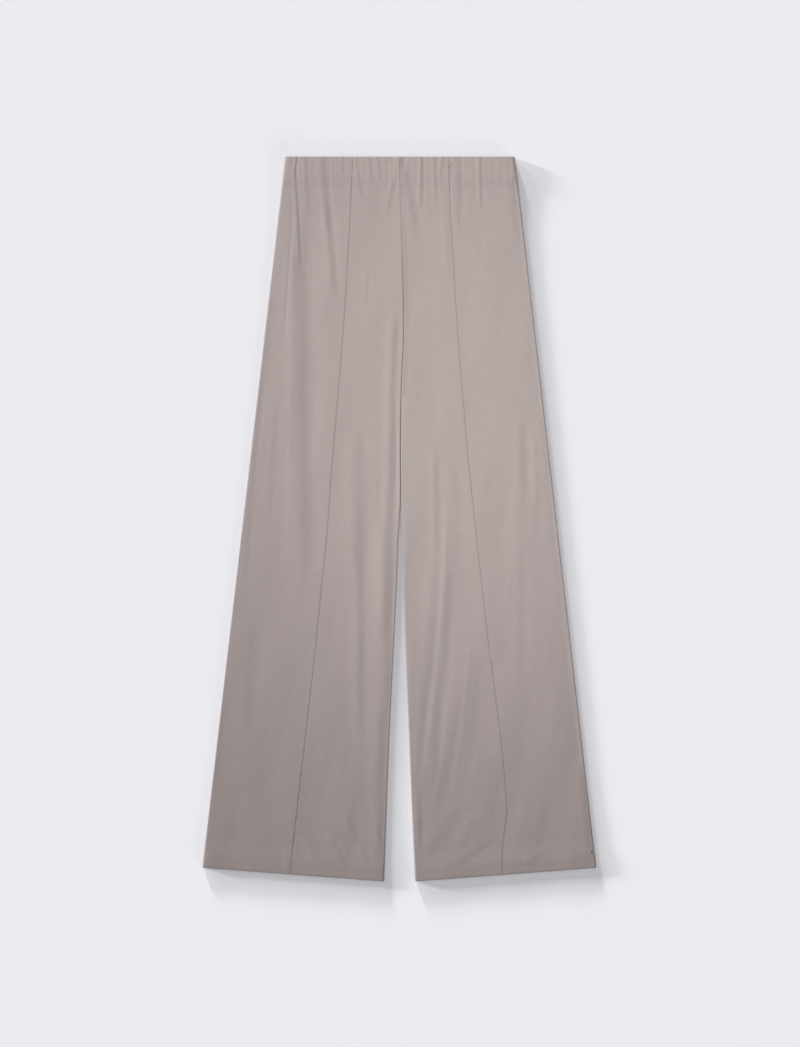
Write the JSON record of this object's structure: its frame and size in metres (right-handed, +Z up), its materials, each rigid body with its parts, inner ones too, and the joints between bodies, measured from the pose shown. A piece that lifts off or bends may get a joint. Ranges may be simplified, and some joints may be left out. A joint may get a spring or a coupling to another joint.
{
  "type": "straight-leg pull-on trousers, laid flat",
  "caption": "Wide straight-leg pull-on jersey trousers with an elasticated casing waist, seamed front panels and turned hems, laid flat front up.",
  "frame": {"origin": "centre of the laid-out garment, on the surface that it rests on", "axes": "+Z up from the surface, which is out of the garment's front; +Y from the hems to the waist; +X to the wearer's left"},
  "size_m": [0.5765, 1.0607, 0.0093],
  "materials": {
    "jersey": "soft matt taupe knitted jersey with a fine slub",
    "elastic": "off-white woven elastic, inside the casing"
  },
  "bodies": {
    "root": {"front_right_side": "jersey", "front_right_centre": "jersey", "front_left_centre": "jersey", "front_left_side": "jersey", "back_right": "jersey", "back_left": "jersey", "waist_elastic": "elastic"}
  },
  "joints": []
}
